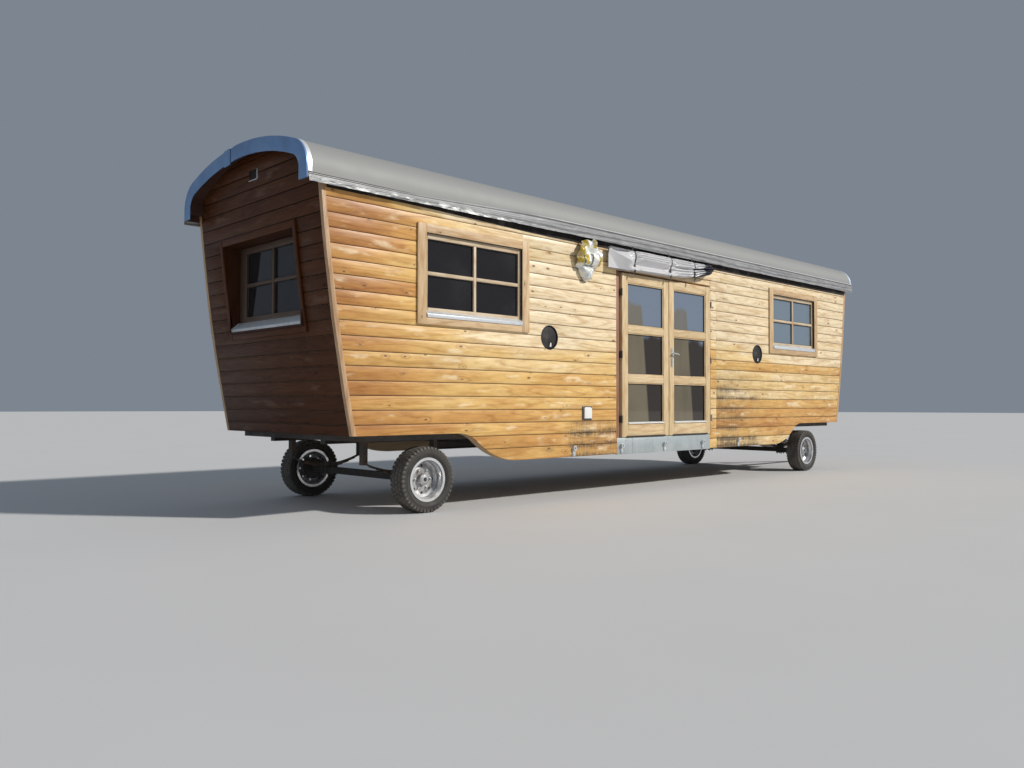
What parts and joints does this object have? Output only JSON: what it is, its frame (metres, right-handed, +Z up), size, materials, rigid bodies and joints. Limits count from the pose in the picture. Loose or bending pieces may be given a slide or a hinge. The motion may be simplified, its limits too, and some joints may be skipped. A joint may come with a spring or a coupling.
{
  "type": "living wagon",
  "caption": "Long timber living wagon with leaning ends, an arched roof, glazed double doors and small-paned windows, on a turntable running gear with a drawbar.",
  "frame": {"origin": "on the ground under the middle of the overall length, drawbar included, on the wagon's centreline", "axes": "+X forward to the drawbar, +Y to the wagon's left, +Z up; the doors are on the right side, -Y"},
  "size_m": [12.021, 2.732, 3.67],
  "materials": {
    "larch_boards": "oiled softwood boards with knots, weathered at the foot",
    "wall_core": "timber frame panels with lining",
    "joinery": "oiled joinery timber",
    "glass": "clear double glazing",
    "roof_membrane": "silver-grey roofing membrane",
    "sheet_metal": "bare folded sheet, dulled and wrinkled at the eaves",
    "galvanised_fittings": "galvanised",
    "black_plastic": "black moulded plastic",
    "white_plastic": "white moulded plastic",
    "foil": "crumpled film bag",
    "awning_cloth": "coated cloth",
    "chassis_steel": "black chassis paint, dusty",
    "tyre_rubber": "dusty tread and sidewall",
    "wheel_steel": "bright silver wheel"
  },
  "bodies": {
    "wagon_body": {"door_side_boards": "larch_boards", "back_side_boards": "larch_boards", "rear_end_boards": "larch_boards", "front_end_boards": "larch_boards", "corner_boards": "larch_boards", "door_side_wall": "wall_core", "back_side_wall": "wall_core", "rear_end_wall": "wall_core", "front_end_wall": "wall_core", "roof_shell": "wall_core", "floor_deck": "wall_core", "floor_risers": "wall_core", "window_casings": "joinery", "window_frames": "joinery", "end_reveals": "joinery", "door_frame": "joinery", "window_glass": "glass", "roof_membrane": "roof_membrane", "eave_trims": "sheet_metal", "gable_fascias": "sheet_metal", "window_sills": "sheet_metal", "door_sill_plate": "sheet_metal", "step_hooks": "galvanised_fittings", "door_hinges": "galvanised_fittings", "round_ports": "black_plastic", "inlet_box": "white_plastic", "lamp_wrap": "foil", "awning_roll": "awning_cloth", "chassis_beams": "chassis_steel", "cross_members": "chassis_steel", "edge_rails": "chassis_steel", "turntable_upper_ring": "chassis_steel", "rear_axle": "chassis_steel", "rear_springs": "chassis_steel"},
    "front_bogie": {"bogie_frame": "chassis_steel", "front_axle": "chassis_steel", "front_springs": "chassis_steel"},
    "drawbar_arm": {"drawbar": "chassis_steel", "towing_eye": "chassis_steel"},
    "rear_door": {"rear_door_leaf": "joinery", "rear_door_glass": "glass"},
    "front_door": {"front_door_leaf": "joinery", "front_door_glass": "glass", "door_handle": "galvanised_fittings"},
    "rear_right_wheel": {"rear_right_tyre": "tyre_rubber", "rear_right_rim": "wheel_steel"},
    "rear_left_wheel": {"rear_left_tyre": "tyre_rubber", "rear_left_rim": "wheel_steel"},
    "front_right_wheel": {"front_right_tyre": "tyre_rubber", "front_right_rim": "wheel_steel"},
    "front_left_wheel": {"front_left_tyre": "tyre_rubber", "front_left_rim": "wheel_steel"}
  },
  "joints": [
    {"name": "turntable_steer", "type": "hinge", "parent": "wagon_body", "child": "front_bogie", "pos_m": [3.4175, 0, 0.678], "axis": [0, 0, 1], "range_deg": [-45, 45]},
    {"name": "drawbar_lift", "type": "hinge", "parent": "front_bogie", "child": "drawbar_arm", "pos_m": [3.9075, 0, 0.5], "axis": [0, -1, 0], "range_deg": [0, 21]},
    {"name": "rear_door_swing", "type": "hinge", "parent": "wagon_body", "child": "rear_door", "pos_m": [-1.5625, -1.275, 1.7], "axis": [0, 0, -1], "range_deg": [0, 110]},
    {"name": "front_door_swing", "type": "hinge", "parent": "wagon_body", "child": "front_door", "pos_m": [0.4375, -1.275, 1.7], "axis": [0, 0, 1], "range_deg": [0, 110]},
    {"name": "rear_right_spin", "type": "hinge", "parent": "wagon_body", "child": "rear_right_wheel", "pos_m": [-4.5425, -1.0825, 0.332], "axis": [0, 1, 0], "continuous": true},
    {"name": "rear_left_spin", "type": "hinge", "parent": "wagon_body", "child": "rear_left_wheel", "pos_m": [-4.5425, 1.0825, 0.332], "axis": [0, 1, 0], "continuous": true},
    {"name": "front_right_spin", "type": "hinge", "parent": "front_bogie", "child": "front_right_wheel", "pos_m": [3.4175, -1.0825, 0.332], "axis": [0, 1, 0], "continuous": true},
    {"name": "front_left_spin", "type": "hinge", "parent": "front_bogie", "child": "front_left_wheel", "pos_m": [3.4175, 1.0825, 0.332], "axis": [0, 1, 0], "continuous": true}
  ]
}
